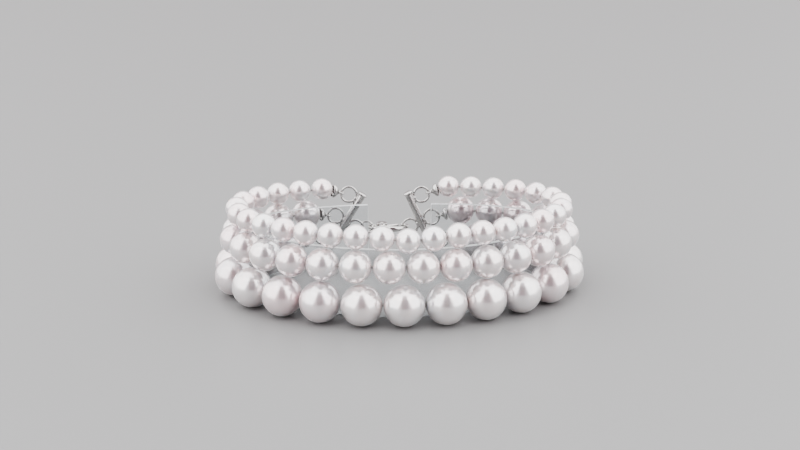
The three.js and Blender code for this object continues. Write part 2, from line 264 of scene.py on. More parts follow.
class StageSettings(bpy.types.PropertyGroup):
    floor: colour("Floor", "Colour of the floor", (0.32, 0.32, 0.322))
    tent: colour("Tent", "Light from the white tent all round", (1.0, 1.0, 1.0))
    tent_strength: share("Tent strength", "Strength of the tent's light", 1.3)
    slit: colour("Slit", "Light from the slits in the tent's front and back", (0.055, 0.02, 0.03))
    side_power: FloatProperty(name="Side light", description="Power of each side softbox",
                              default=0.7, unit="POWER")
    side_turn: angle("Side turn", "From the front to the middle of each side softbox", 58.0)
    side_rise: angle("Side rise", "Height of the middle of each side softbox", 24.0)
    side_roll: angle("Side roll", "How far the side softboxes lean together at the top", 24.0)
    top_power: FloatProperty(name="Top light", description="Power of the overhead softbox",
                             default=4.0, unit="POWER")
    azimuth: angle("Azimuth", "How far the camera stands to the left of the front", 3.78)
    elevation: angle("Elevation", "How far the camera looks down", 17.36)
    distance: length("Distance", "From the camera to what it looks at", 201.4)
    aim: FloatVectorProperty(name="Aim", description="The point that the camera looks at",
                             default=(-0.11 * MM, 1.02 * MM, 8.0 * MM), precision=6,
                             subtype="TRANSLATION", unit="LENGTH")
    lens: FloatProperty(name="Lens", description="Focal length in millimetres", default=43.69)
    shift_x: share("Shift X", "Sideways shift of the frame", -0.0017)
    shift_y: share("Shift Y", "Upward shift of the frame", 0.0321)


class BraceletSettings(bpy.types.PropertyGroup):
    band: PointerProperty(type=BandSizes, name="Band", description="Sizes of the clear band")
    pearls: PointerProperty(type=PearlSizes, name="Pearls", description="Sizes of the strands")
    findings: PointerProperty(type=FindingSizes, name="Findings", description="Sizes of bars and tips")
    clasp: PointerProperty(type=ClaspSizes, name="Clasp", description="Sizes of the lobster clasp")
    finishes: PointerProperty(type=Finishes, name="Finishes", description="Colours of the materials")
    stage: PointerProperty(type=StageSettings, name="Stage", description="Floor, light and camera")


class Outline:
    """The band's outline from above, set outwards. It starts at the front and runs towards +X."""

    def __init__(self, band, shift, outset):
        turn = np.linspace(0.0, 2 * math.pi, OUTLINE_STEPS, endpoint=False)
        across, ahead = np.sin(turn), np.cos(turn)
        power = 2 / np.where(ahead > 0, band.front_exponent, band.back_exponent)
        depth = np.where(ahead > 0, -band.front_depth, band.back_depth)
        points = np.stack([band.half_width * np.sign(across) * np.abs(across) ** power,
                           depth * np.abs(ahead) ** power], axis=1)
        along = np.roll(points, -1, axis=0) - np.roll(points, 1, axis=0)
        outward = np.stack([along[:, 1], -along[:, 0]], axis=1)
        outward /= np.linalg.norm(outward, axis=1, keepdims=True)
        points = points + outset * outward + np.array(shift)
        self.points = np.vstack([points, points[:1]])
        steps = np.linalg.norm(np.diff(self.points, axis=0), axis=1)
        self.runs = np.concatenate([[0.0], np.cumsum(steps)])
        self.length = self.runs[-1]

    def at(self, runs):
        """The points at these runs from the front."""
        wrapped = np.mod(runs, self.length)
        return np.stack([np.interp(wrapped, self.runs, self.points[:, k]) for k in (0, 1)], axis=-1)

    def run_at_back(self, x):
        """The run at which the back half passes this x."""
        back = slice(OUTLINE_STEPS * 3 // 10, OUTLINE_STEPS * 7 // 10)
        return float(np.interp(-x, -self.points[back, 0], self.runs[back]))


class Bar:
    """Where one end bar and its rings lie."""

    def __init__(self, side, clasp_ring, findings, reach):
        self.sign = SIDES[side]
        self.tilt = findings.left_tilt if side == "left" else findings.right_tilt
        along = Vector((-self.sign * math.sin(self.tilt), 0.0, math.cos(self.tilt)))
        outward = Vector((self.sign * math.cos(self.tilt), 0.0, math.sin(self.tilt)))
        self.middle = clasp_ring + outward * reach
        self.rings = {row: self.middle + along * (level - 1) * findings.ring_spacing + outward * reach
                      for level, row in enumerate(ROWS)}

    def matrix(self):
        """From the upright bar, strands towards its sign along X, to its place."""
        return Matrix.Translation(self.middle) @ Matrix.Rotation(-self.sign * self.tilt, 4, "Y")


class Row:
    """The pearls of one row between its two bead tips, pushed together at the front."""

    def __init__(self, name, plan, below):
        pearls, findings = plan.settings.pearls, plan.settings.findings
        self.radius = getattr(pearls, name) / 2
        outline = Outline(plan.settings.band, plan.shift, pearls.band_play + self.radius)
        right = outline.run_at_back(plan.bars["right"].rings[name].x)
        left = outline.run_at_back(plan.bars["left"].rings[name].x) - outline.length
        strung = right - left - 2 * getattr(findings, name + "_run")
        count = int((strung + pearls.gap) / (2 * self.radius + pearls.gap))
        evenly = (np.arange(count - 1) - count / 2 + 1) * strung / count
        gaps = 1 + LEAST_GAP - np.exp(-(evenly / pearls.gathered) ** 2)
        gaps *= (strung - count * 2 * self.radius) / gaps.sum()
        start = (left + right - strung) / 2 + self.radius
        runs = start + np.concatenate([[0.0], np.cumsum(gaps + 2 * self.radius)])
        self.level = self.radius
        if below:
            reach = below.radius + self.radius + pearls.row_play
            self.level = below.level + math.sqrt(reach ** 2 - (below.radius - self.radius) ** 2)
        sag = pearls.sag if name == "top" else 0.0
        heights = self.level - sag * np.exp(-(runs / pearls.sag_spread) ** 2)
        self.centres = np.column_stack([outline.at(runs), heights])
        if below:
            for centre in self.centres:
                centre[2] = max(centre[2], below.resting_height(centre[:2], reach))

    def resting_height(self, point, reach):
        """The lowest height at which a pearl over this point clears the pearls of this row."""
        flat = np.linalg.norm(self.centres[:, :2] - point, axis=1)
        near = flat < reach
        return np.max(self.centres[near, 2] + np.sqrt(reach ** 2 - flat[near] ** 2), initial=0.0)

    def end(self, side):
        """The middle of the pearl at that end of the row."""
        return Vector(self.centres[0 if side == "left" else -1])


class Plan:
    """Places worked out from the sizes, laid so that the clasp's rivet is where the frame has it."""

    def __init__(self, settings):
        self.settings = settings
        band, pearls, findings, clasp = settings.band, settings.pearls, settings.findings, settings.clasp
        self.ring_mean = (findings.ring_diameter - findings.ring_wire) / 2
        self.ring_reach = (findings.bar_diameter + findings.ring_diameter) / 2 - findings.solder_depth
        self.hook_mean = (findings.ring_wire + findings.hook_wire) / 2 + findings.hook_play
        self.link_mean = (clasp.link_diameter - clasp.link_wire) / 2
        self.eye_mean = math.sqrt(2) * (clasp.link_wire + clasp.eye_wire) / 2 + clasp.eye_play
        self.eye_to_rivet = clasp.hub_diameter / 2 + self.eye_mean - clasp.eye_wire / 4
        link_grip = (findings.ring_wire + clasp.link_wire) / 2 + clasp.link_play
        span = (2 * self.ring_mean - link_grip + 2 * self.link_mean
                + self.eye_to_rivet + clasp.rivet_to_ring)
        rivet_x = clasp.centre_x + span / 2 - self.ring_mean - clasp.rivet_to_ring
        findings_y = band.back_depth + pearls.band_play + pearls.top / 2
        self.shift = (RIVET.x - rivet_x, RIVET.y - findings_y)
        self.bars = {}
        for side, sign in SIDES.items():
            ring = Vector((clasp.centre_x + sign * span / 2 + self.shift[0], RIVET.y, RIVET.z))
            self.bars[side] = Bar(side, ring, findings, self.ring_reach)
        self.rows = {}
        below = None
        for name in ROWS:
            below = self.rows[name] = Row(name, self, below)


# Shells are pairs of a vertex list and a face list.

def skin(rings, closed=False):
    """Quads between rings of points, with an end face at each side unless the rings close."""
    sides = len(rings[0])
    vertices = [point for ring in rings for point in ring]
    faces = []
    for i in range(len(rings) - (0 if closed else 1)):
        here, there = i * sides, (i + 1) % len(rings) * sides
        for k in range(sides):
            after = (k + 1) % sides
            faces.append((here + k, here + after, there + after, there + k))
    if not closed:
        faces.append(tuple(reversed(range(sides))))
        faces.append(tuple(range(len(vertices) - sides, len(vertices))))
    return vertices, faces


def turned(profile, segments=ROUND_SEGMENTS):
    """A round body about Z, through profile points of radius and height."""
    turns = [2 * math.pi * k / segments for k in range(segments)]
    return skin([[Vector((r * math.cos(t), r * math.sin(t), h)) for t in turns] for r, h in profile])


def wire(path, radii, normal, closed=False, flatness=1.0, sides=WIRE_SEGMENTS):
    """A wire along a path that lies in the plane square to the normal."""
    rings = []
    last = len(path) - 1
    for i, (centre, radius) in enumerate(zip(path, radii)):
        before = path[i - 1] if closed or i else centre
        after = path[(i + 1) % len(path)] if closed or i < last else centre
        side = (after - before).normalized().cross(normal)
        turns = [2 * math.pi * k / sides for k in range(sides)]
        rings.append([centre + side * radius * math.cos(t) + normal * radius * flatness * math.sin(t)
                      for t in turns])
    return skin(rings, closed)


def round_wire(mean, thickness, start=0.0, sweep=2 * math.pi):
    """A wire bent round the Y axis, starting at X. A full sweep closes it, a part has rounded ends."""
    closed = sweep >= 2 * math.pi
    turns = np.linspace(start, start + sweep, RING_STEPS, endpoint=not closed)
    path = [Vector((mean * math.cos(t), 0.0, mean * math.sin(t))) for t in turns]
    radii = [thickness / 2] * len(path)
    if not closed:
        radii[0] = radii[-1] = WIRE_END * thickness / 2
    return wire(path, radii, TO_CLASP, closed)


def ball(radius, flatness=1.0):
    """A ball, flattened along Z."""
    turns = np.linspace(-math.pi / 2, math.pi / 2, WIRE_SEGMENTS)
    return turned([(radius * math.cos(t), radius * flatness * math.sin(t)) for t in turns])


def puck(radius, height, edge):
    """A disc about Z with rounded edges."""
    half = height / 2
    corner = [(radius - edge + edge * math.cos(t), half - edge + edge * math.sin(t))
              for t in np.linspace(0.0, math.pi / 2, EDGE_STEPS)]
    lower = [(r, -h) for r, h in reversed(corner)]
    return turned([(0.0, -half), *lower, *corner, (0.0, half)])


def block(low, high):
    """A box between two corners."""
    vertices = [Vector((x, y, z)) for x in (low[0], high[0]) for y in (low[1], high[1])
                for z in (low[2], high[2])]
    return vertices, [(0, 1, 3, 2), (4, 6, 7, 5), (0, 4, 5, 1), (2, 3, 7, 6), (0, 2, 6, 4), (1, 5, 7, 3)]


def placed(shell, matrix):
    """A copy of the shell moved by the matrix."""
    vertices, faces = shell
    return [matrix @ vertex for vertex in vertices], faces


def together(*shells):
    """One shell list of several shells, side by side or overlapping."""
    vertices, faces = [], []
    for more_vertices, more_faces in shells:
        faces += [tuple(k + len(vertices) for k in face) for face in more_faces]
        vertices += more_vertices
    return vertices, faces


def eased(rows, count):
    """Points on a smooth curve through rows of numbers, evenly shared between them."""
    rows = np.array(rows, float)
    rows = np.vstack([2 * rows[0] - rows[1], rows, 2 * rows[-1] - rows[-2]])
    made = []
    for place in np.linspace(0, len(rows) - 3, count):
        i = min(int(place), len(rows) - 4)
        t = place - i
        a, b, c, d = rows[i:i + 4]
        made.append(0.5 * (2 * b + (c - a) * t + (2 * a - 5 * b + 4 * c - d) * t ** 2
                           + (3 * b - a - 3 * c + d) * t ** 3))
    return made


# Objects.

def with_options(thing, **options):
    """Sets options on a thing and gives it back."""
    for option, value in options.items():
        setattr(thing, option, value)
    return thing


def linked(name, data):
    """A new object in the scene that shows this data."""
    made = bpy.data.objects.new(name, data)
    bpy.context.scene.collection.objects.link(made)
    return made


def object_of(name, shell):
    """An object whose mesh is the shell, welded and with its faces outwards."""
    mesh = bpy.data.meshes.new(name)
    vertices, faces = shell
    mesh.from_pydata([tuple(vertex) for vertex in vertices], [], faces)
    shaped = bmesh.new()
    shaped.from_mesh(mesh)
    bmesh.ops.remove_doubles(shaped, verts=shaped.verts, dist=WELD)
    bmesh.ops.recalc_face_normals(shaped, faces=shaped.faces)
    shaped.to_mesh(mesh)
    shaped.free()
    return linked(name, mesh)


def made_plain(thing):
    """Turns an object's live modifiers into a plain mesh on the same object."""
    depsgraph = bpy.context.evaluated_depsgraph_get()
    mesh = bpy.data.meshes.new_from_object(thing.evaluated_get(depsgraph),
                                           preserve_all_data_layers=True, depsgraph=depsgraph)
    thing.modifiers.clear()
    thing.data = mesh
    if not len(mesh.polygons):
        raise RuntimeError(f"{thing.name} came out empty")
    return thing


def fused(name, shell, voxel, cut=None, passes=5):
    """One cast skin round overlapping shells, less the cut. It is worked in millimetres, because
    the remesh has a smallest voxel, and brought back to metres."""
    grow = Matrix.Scale(1 / MM, 4)
    cast = object_of(name, placed(shell, grow))
    cutter = None
    if cut:
        cutter = object_of(name + "_cut", placed(cut, grow))
        with_options(cast.modifiers.new("Cut", "BOOLEAN"), operation="DIFFERENCE", solver="EXACT",
                     use_self=True, object=cutter)
    with_options(cast.modifiers.new("Fuse", "REMESH"), mode="VOXEL", voxel_size=voxel / MM)
    with_options(cast.modifiers.new("Ease", "SMOOTH"), factor=0.5, iterations=passes)
    made_plain(cast)
    if cutter:
        bpy.data.objects.remove(cutter)
    cast.data.transform(Matrix.Scale(MM, 4))
    return cast


def dressed(piece, material, body, slot, *nodes, sharp=METAL_SHARP):
    """Gives a finished piece its shading, material and body, and hides the imported nodes that it stands
    for. The slot is not used.
    """
    piece.data.shade_smooth()
    piece.data.set_sharp_from_angle(angle=math.radians(sharp))
    piece.data.materials.clear()
    piece.data.materials.append(material)
    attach(piece, body)
    if nodes:
        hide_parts(*nodes)
    return piece


def silvered(piece, *nodes, body="bracelet"):
    """Dresses a finished piece of the silver findings."""
    return dressed(piece, once("Polished silver", silver_shader), body, "silver", *nodes)


# Node trees.

def fed(tree, made, inputs):
    """A node whose inputs are set to values or joined to sockets."""
    for key, value in inputs.items():
        if isinstance(value, bpy.types.NodeSocket):
            tree.links.new(value, made.inputs[key])
        else:
            made.inputs[key].default_value = value
    return made


def node(tree, kind, inputs=None, **options):
    """A new node with its options and its inputs."""
    return fed(tree, with_options(tree.nodes.new(kind), **options), inputs or {})


def calc(tree, operation, *values):
    """The result of one sum with numbers or sockets."""
    return node(tree, "ShaderNodeMath", dict(enumerate(values)), operation=operation).outputs[0]


def ramp(tree, value, low, high, to_low=0.0, to_high=1.0, smooth=False):
    """A value brought from one range to another, and held at its ends."""
    mapped = node(tree, "ShaderNodeMapRange", {
        "Value": value, "From Min": low, "From Max": high, "To Min": to_low, "To Max": to_high},
        interpolation_type="SMOOTHSTEP" if smooth else "LINEAR")
    return mapped.outputs["Result"]


def mixed(tree, factor, first, second):
    """A colour between two, each a colour or a socket."""
    ends = [end if isinstance(end, bpy.types.NodeSocket) else (*end, 1.0) for end in (first, second)]
    mix = node(tree, "ShaderNodeMix", {"Factor": factor, "A": ends[0], "B": ends[1]}, data_type="RGBA")
    return mix.outputs["Result"]


def noise(tree, place, scale, detail, roughness=0.5):
    """The brightness of a noise texture."""
    return node(tree, "ShaderNodeTexNoise", {
        "Vector": place, "Scale": scale, "Detail": detail, "Roughness": roughness}).outputs["Fac"]


def object_place(tree):
    """The place on the object's own axes."""
    return node(tree, "ShaderNodeTexCoord").outputs["Object"]


def new_group(name, kind, inputs, outputs):
    """A node group with named sockets, and its input and output nodes."""
    tree = bpy.data.node_groups.new(name, kind)
    for label, socket, default in inputs:
        made = tree.interface.new_socket(name=label, in_out="INPUT", socket_type="NodeSocket" + socket)
        if default is not None:
            made.default_value = default
    for label, socket in outputs:
        tree.interface.new_socket(name=label, in_out="OUTPUT", socket_type="NodeSocket" + socket)
    return tree, tree.nodes.new("NodeGroupInput").outputs, tree.nodes.new("NodeGroupOutput")


def grown(name, points, tree, values):
    """A plain mesh made by a geometry tree from a path, whose named inputs are set first."""
    mesh = bpy.data.meshes.new(name)
    edges = [(k, k + 1) for k in range(len(points) - 1)]
    mesh.from_pydata([tuple(point) for point in points], edges, [])
    thing = linked(name, mesh)
    modifier = with_options(thing.modifiers.new("Grow", "NODES"), node_group=tree)
    for item in tree.interface.items_tree:
        if item.in_out == "INPUT" and item.name in values:
            modifier[item.identifier] = values[item.name]
    return made_plain(thing)


def drawn(tree, seed, least=0.0):
    """A random number for each point, from the least up to 1."""
    number = node(tree, "FunctionNodeRandomValue", {"Min": least, "Max": 1.0, "Seed": seed},
                  data_type="FLOAT")
    return next(socket for socket in number.outputs if socket.enabled)


def ended(tree, geometry, material, result):
    """Ends a geometry tree in real meshes with their material."""
    real = node(tree, "GeometryNodeRealizeInstances", {"Geometry": geometry})
    finished = node(tree, "GeometryNodeSetMaterial", {"Geometry": real.outputs[0], "Material": material})
    fed(tree, result, {0: finished.outputs[0]})


def pearl_tree():
    """Geometry nodes that string drilled pearls on the points of a path."""
    tree, given, result = new_group("Strung pearls", "GeometryNodeTree", [
        ("Path", "Geometry", None),
        ("Diameter", "Float", 8 * MM),
        ("Unevenness", "Float", 0.01),
        ("Drill Radius", "Float", 0.7 * MM),
        ("Dimple", "Float", 0.1 * MM),
        ("Seed", "Int", 0),
        ("Material", "Material", None),
    ], [("Pearls", "Geometry")])
    sphere = node(tree, "GeometryNodeMeshUVSphere", {
        "Segments": PEARL_SEGMENTS, "Rings": PEARL_RINGS,
        "Radius": calc(tree, "MULTIPLY", given["Diameter"], 0.5)})
    place = node(tree, "GeometryNodeInputPosition").outputs[0]
    flat = node(tree, "ShaderNodeVectorMath", {0: place, 1: (1.0, 1.0, 0.0)}, operation="MULTIPLY")
    from_axis = node(tree, "ShaderNodeVectorMath", {0: flat.outputs[0]}, operation="LENGTH")
    near_hole = ramp(tree, from_axis.outputs["Value"], 0.0, given["Drill Radius"],
                     given["Dimple"], 0.0, smooth=True)
    pole = calc(tree, "SIGN", node(tree, "ShaderNodeSeparateXYZ", {0: place}).outputs["Z"])
    sink = calc(tree, "MULTIPLY", calc(tree, "MULTIPLY", pole, -1.0), near_hole)
    offset = node(tree, "ShaderNodeCombineXYZ", {"Z": sink})
    drilled = node(tree, "GeometryNodeSetPosition", {
        "Geometry": sphere.outputs["Mesh"], "Offset": offset.outputs[0]})
    curve = node(tree, "GeometryNodeMeshToCurve", {"Mesh": given["Path"]})
    points = node(tree, "GeometryNodeCurveToPoints", {"Curve": curve.outputs[0]}, mode="EVALUATED")
    strung = node(tree, "GeometryNodeInstanceOnPoints", {
        "Points": points.outputs["Points"], "Instance": drilled.outputs[0],
        "Rotation": points.outputs["Rotation"],
        "Scale": drawn(tree, given["Seed"], calc(tree, "SUBTRACT", 1.0, given["Unevenness"]))})
    tinted = node(tree, "GeometryNodeStoreNamedAttribute", {
        "Geometry": strung.outputs[0], "Name": "tint",
        "Value": drawn(tree, calc(tree, "ADD", given["Seed"], TINT_SEED_STEP))},
        data_type="FLOAT", domain="INSTANCE")
    ended(tree, tinted.outputs[0], given["Material"], result)
    return tree


def thread_tree():
    """Geometry nodes that lay a round thread along a path."""
    tree, given, result = new_group("Thread", "GeometryNodeTree", [
        ("Path", "Geometry", None),
        ("Diameter", "Float", 0.5 * MM),
        ("Material", "Material", None),
    ], [("Thread", "Geometry")])
    section = node(tree, "GeometryNodeCurvePrimitiveCircle", {
        "Resolution": WIRE_SEGMENTS, "Radius": calc(tree, "MULTIPLY", given["Diameter"], 0.5)})
    curve = node(tree, "GeometryNodeMeshToCurve", {"Mesh": given["Path"]})
    tube = node(tree, "GeometryNodeCurveToMesh", {
        "Curve": curve.outputs[0], "Profile Curve": section.outputs["Curve"], "Fill Caps": True})
    ended(tree, tube.outputs[0], given["Material"], result)
    return tree


# Materials.

def handling_marks():
    """Shader group: soft smudges in the gloss, and hair scratches in the surface."""
    if "Handling marks" in bpy.data.node_groups:
        return bpy.data.node_groups["Handling marks"]
    tree, given, result = new_group("Handling marks", "ShaderNodeTree", [
        ("Smudge Scale", "Float", 300.0),
        ("Scratch Scale", "Float", 1500.0),
        ("Clean", "Float", 0.1),
        ("Smudged", "Float", 0.2),
    ], [("Roughness", "Float"), ("Height", "Float")])
    place = object_place(tree)
    smudge = noise(tree, place, given["Smudge Scale"], 3.0, 0.55)
    stretched = node(tree, "ShaderNodeMapping", {
        "Vector": place, "Rotation": (0.4, 0.9, 0.2), "Scale": (1.0, 0.12, 1.0)})
    fed(tree, result, {
        "Roughness": ramp(tree, smudge, 0.35, 0.7, given["Clean"], given["Smudged"]),
        "Height": noise(tree, stretched.outputs[0], given["Scratch Scale"], 2.0)})
    return tree


def once(name, build):
    """The material of that name, made the first time that it is asked for. The build function
    gets its node tree and its shader."""
    if name in bpy.data.materials:
        return bpy.data.materials[name]
    made = bpy.data.materials.new(name)
    made.use_nodes = True
    tree = made.node_tree
    tree.nodes.clear()
    shader = tree.nodes.new("ShaderNodeBsdfPrincipled")
    output = tree.nodes.new("ShaderNodeOutputMaterial")
    tree.links.new(shader.outputs[0], output.inputs["Surface"])
    build(tree, shader)
    return made


def marked(tree, shader, marks):
    """Adds handling marks to a shader's roughness and surface."""
    smudge_scale, scratch_scale, clean, smudged, depth = marks
    group = node(tree, "ShaderNodeGroup", {
        "Smudge Scale": smudge_scale, "Scratch Scale": scratch_scale, "Clean": clean,
        "Smudged": smudged}, node_tree=handling_marks())
    bump = node(tree, "ShaderNodeBump", {
        "Height": group.outputs["Height"], "Strength": SCRATCH_STRENGTH, "Distance": depth})
    fed(tree, shader, {"Roughness": group.outputs["Roughness"], "Normal": bump.outputs[0]})


def finish_colour(name):
    """One of the colours in the settings."""
    return getattr(bpy.context.scene.pearl_bracelet.finishes, name)


def darker(tone, part):
    """A colour brought down to this part of its light."""
    return [part * light for light in tone]


def pearl_shader(tree, shader):
    """Nacre: a bright body with faint rose and cool overtones, under a clear lustre."""
    tint = node(tree, "ShaderNodeAttribute", attribute_name="tint")
    warmth = ramp(tree, tint.outputs["Fac"], 0.2, 1.0, 0.0, 0.6)
    coolness = ramp(tree, noise(tree, object_place(tree), 170.0, 2.0), 0.42, 0.72, 0.0, 0.7)
    warm = mixed(tree, warmth, finish_colour("nacre"), finish_colour("rose"))
    marked(tree, shader, PEARL_MARKS)
    fed(tree, shader, {
        "Base Color": mixed(tree, coolness, warm, finish_colour("cool")),
        "Metallic": 0.64, "Subsurface Weight": 0.15, "Subsurface Scale": 1.2 * MM,
        "Subsurface Radius": (1.0, 0.75, 0.65), "IOR": 1.5, "Specular IOR Level": 0.3,
        "Sheen Weight": 1.0, "Sheen Roughness": 0.3,
        "Coat Weight": 0.4, "Coat Roughness": 0.04, "Coat IOR": 1.45,
    })


def silver_shader(tree, shader):
    """Polished silver plate with soft smudges and fine scratches."""
    bright = finish_colour("silver")
    cloud = noise(tree, object_place(tree), 500.0, 3.0)
    marked(tree, shader, SILVER_MARKS)
    fed(tree, shader, {
        "Base Color": mixed(tree, cloud, bright, darker(bright, DULL_SILVER)), "Metallic": 1.0})


def plastic_shader(tree, shader, marks=PLASTIC_MARKS, clear=1.0):
    """Clear plastic with faint smudges."""
    marked(tree, shader, marks)
    fed(tree, shader, {
        "Base Color": (*finish_colour("plastic"), 1.0), "Transmission Weight": clear, "IOR": 1.49})


def sawn_shader(tree, shader):
    """The band's sawn edges, which are frosted and catch the light."""
    plastic_shader(tree, shader, SAWN_MARKS, 0.4)


def thread_shader(tree, shader):
    """Twisted silk thread, painted darker where its twist is low, as painted shade in the grooves."""
    bright = finish_colour("thread")
    twist = node(tree, "ShaderNodeTexWave", {
        "Vector": object_place(tree), "Scale": 900.0, "Distortion": 2.0},
        bands_direction="DIAGONAL").outputs["Fac"]
    bump = node(tree, "ShaderNodeBump", {"Height": twist, "Strength": 0.6, "Distance": 0.03 * MM})
    fed(tree, shader, {
        # Darker where the twist's bump is low: painted shade in its grooves.
        "Base Color": mixed(tree, twist, darker(bright, THREAD_GROOVE_SHADE), bright),
        "Normal": bump.outputs[0], "Roughness": 0.7})


def floor_shader(tree, shader):
    """Plain pale floor with a little sheen."""
    stage = bpy.context.scene.pearl_bracelet.stage
    fed(tree, shader, {"Base Color": (*stage.floor, 1.0), "Roughness": 0.45})


# Operators, one for each piece or group of like pieces.

class BRACELET_OT_display_band(bpy.types.Operator):
    """Makes the clear band that holds the strands open"""

    bl_idname = "bracelet.display_band"
    bl_label = "Display Band"

    def execute(self, context):
        plan = Plan(context.scene.pearl_bracelet)
        band = plan.settings.band
        walls = []
        for outset in (0.0, -band.wall):
            outline = Outline(band, plan.shift, outset)
            gap_middle = band.gap_centre + plan.shift[0]
            start = outline.run_at_back(gap_middle - band.gap / 2) - outline.length
            end = outline.run_at_back(gap_middle + band.gap / 2)
            walls.append(outline.at(np.linspace(start, end, BAND_STEPS)))
        sections = [[Vector((*outer, 0.0)), Vector((*outer, band.height)),
                     Vector((*inner, band.height)), Vector((*inner, 0.0))]
                    for outer, inner in zip(*walls)]
        piece = object_of("clear_band", skin(sections))
        with_options(piece.modifiers.new("Edge", "BEVEL"), width=band.edge, segments=BEVEL_SEGMENTS,
                     limit_method="ANGLE", angle_limit=math.radians(45))
        made_plain(piece)
        dressed(piece, once("Clear plastic", plastic_shader), "bracelet", "clear_plastic",
                "display_band", sharp=BAND_SHARP)
        piece.data.materials.append(once("Sawn plastic", sawn_shader))
        for face in piece.data.polygons:
            by_gap = face.center.y > 0 and abs(face.center.x - gap_middle) < band.gap / 2 + band.edge
            if abs(face.normal.z) > 0.5 or by_gap and abs(face.normal.x) > 0.5:
                face.material_index = 1
        return {"FINISHED"}


class BRACELET_OT_strands(bpy.types.Operator):
    """Strings the three rows of pearls on their threads"""

    bl_idname = "bracelet.strands"
    bl_label = "Pearl Strands"

    def execute(self, context):
        plan = Plan(context.scene.pearl_bracelet)
        pearls = plan.settings.pearls
        strung, laid = pearl_tree(), thread_tree()
        nacre = once("Nacre", pearl_shader)
        silk = once("Silk thread", thread_shader)
        for level, (name, row) in enumerate(plan.rows.items()):
            piece = grown(f"pearls_{name}", row.centres, strung, {
                "Diameter": 2 * row.radius, "Unevenness": pearls.unevenness,
                "Drill Radius": pearls.drill, "Dimple": pearls.dimple,
                "Seed": pearls.seed + level, "Material": nacre})
            dressed(piece, nacre, "bracelet", "pearl", f"pearl_strand_{name}", sharp=PEARL_SHARP)
            path = [tip_grip(plan, "left", name)[0], *row.centres, tip_grip(plan, "right", name)[0]]
            for end, inner in ((0, 1), (-1, -2)):
                path[end] = Vector(path[end]).lerp(Vector(path[inner]), THREAD_TUCK)
            thread = grown(f"thread_{name}", path, laid, {"Diameter": pearls.thread, "Material": silk})
            dressed(thread, silk, "bracelet", "pearl")
        return {"FINISHED"}


def tip_grip(plan, side, name):
    """Where a bead tip's hook grips its ring, the way out from the ring, and the way to its pearl."""
    ring = plan.bars[side].rings[name]
    pearl = plan.rows[name].end(side)
    outward = Vector((pearl.x - ring.x, 0.0, pearl.z - ring.z)).normalized()
    grip = ring + outward * plan.ring_mean
    return grip, outward, pearl - grip


def bead_tip_shell(plan, side, name):
    """A hollow bell, open towards the pearl, with a hook curled round the ring."""
    findings = plan.settings.findings
    grip, outward, way = tip_grip(plan, side, name)
    tall = way.length - plan.rows[name].radius - findings.tip_play - plan.hook_mean
    neck, mouth = findings.bell_neck / 2, findings.bell_mouth / 2
    outside = [(neck + width * (mouth - neck), rise * tall)
               for rise, width in eased(BELL_FLARE, SHAPE_STEPS)]
    inside = [(radius - findings.bell_wall, height) for radius, height in reversed(outside[BELL_FLOOR:])]
    lip = (outside[-1][0] - findings.bell_wall / 2, tall + findings.bell_wall / 3)
    bell = turned([(0.0, -findings.hook_wire / 4), (neck, -findings.hook_wire / 4), *outside, lip,
                   *inside, (0.0, inside[-1][1])])
    turn = UP.rotation_difference(way).to_matrix().to_4x4()
    bell = placed(bell, Matrix.Translation(way.normalized() * plan.hook_mean) @ turn)
    start = math.atan2(way.y, way.dot(outward))
    hook = round_wire(plan.hook_mean, findings.hook_wire, start, HOOK_SWEEP)
    across = Matrix((outward, outward.cross(TO_CLASP), TO_CLASP)).transposed().to_4x4()
    hook = placed(hook, across)
    return placed(together(bell, hook), Matrix.Translation(grip))


class BRACELET_OT_bead_tips(bpy.types.Operator):
    """Makes the six bead tips that hook the strands to the bars"""

    bl_idname = "bracelet.bead_tips"
    bl_label = "Bead Tips"

    def execute(self, context):
        plan = Plan(context.scene.pearl_bracelet)
        for side in SIDES:
            for name in ROWS:
                piece = object_of(f"tip_{side}_{name}", bead_tip_shell(plan, side, name))
                silvered(piece, f"bead_tip_{side}_{name}")
        return {"FINISHED"}


def bar_shell(plan, sign):
    """An upright bar with rounded caps, three rings for the strands and one for the clasp."""
    findings = plan.settings.findings
    end = findings.ring_spacing + findings.bar_end
    tube = findings.bar_diameter / 2
    inset = findings.cap_length / 2
    parts = [turned([(0.0, inset - end), (tube, inset - end), (tube, end - inset), (0.0, end - inset)])]
    cap = ball(findings.cap_diameter / 2, findings.cap_length / findings.cap_diameter)
    for height in (inset - end, end - inset):
        parts.append(placed(cap, Matrix.Translation((0.0, 0.0, height))))
    ring = round_wire(plan.ring_mean, findings.ring_wire)
    solder = ball(findings.ring_wire * SOLDER[0], SOLDER[1])
    places = [(sign, level * findings.ring_spacing) for level in (-1, 0, 1)] + [(-sign, 0.0)]
    for way, height in places:
        parts.append(placed(ring, Matrix.Translation((way * plan.ring_reach, 0.0, height))))
        parts.append(placed(solder, Matrix.Translation((way * tube, 0.0, height))))
    return together(*parts)


class BRACELET_OT_end_bars(bpy.types.Operator):
    """Makes the two end bars with their soldered rings"""

    bl_idname = "bracelet.end_bars"
    bl_label = "End Bars"

    def execute(self, context):
        plan = Plan(context.scene.pearl_bracelet)
        for side, sign in SIDES.items():
            piece = fused(f"bar_{side}", bar_shell(plan, sign), BAR_VOXEL)
            piece.data.transform(plan.bars[side].matrix())
            silvered(piece, f"end_bar_{side}")
        return {"FINISHED"}


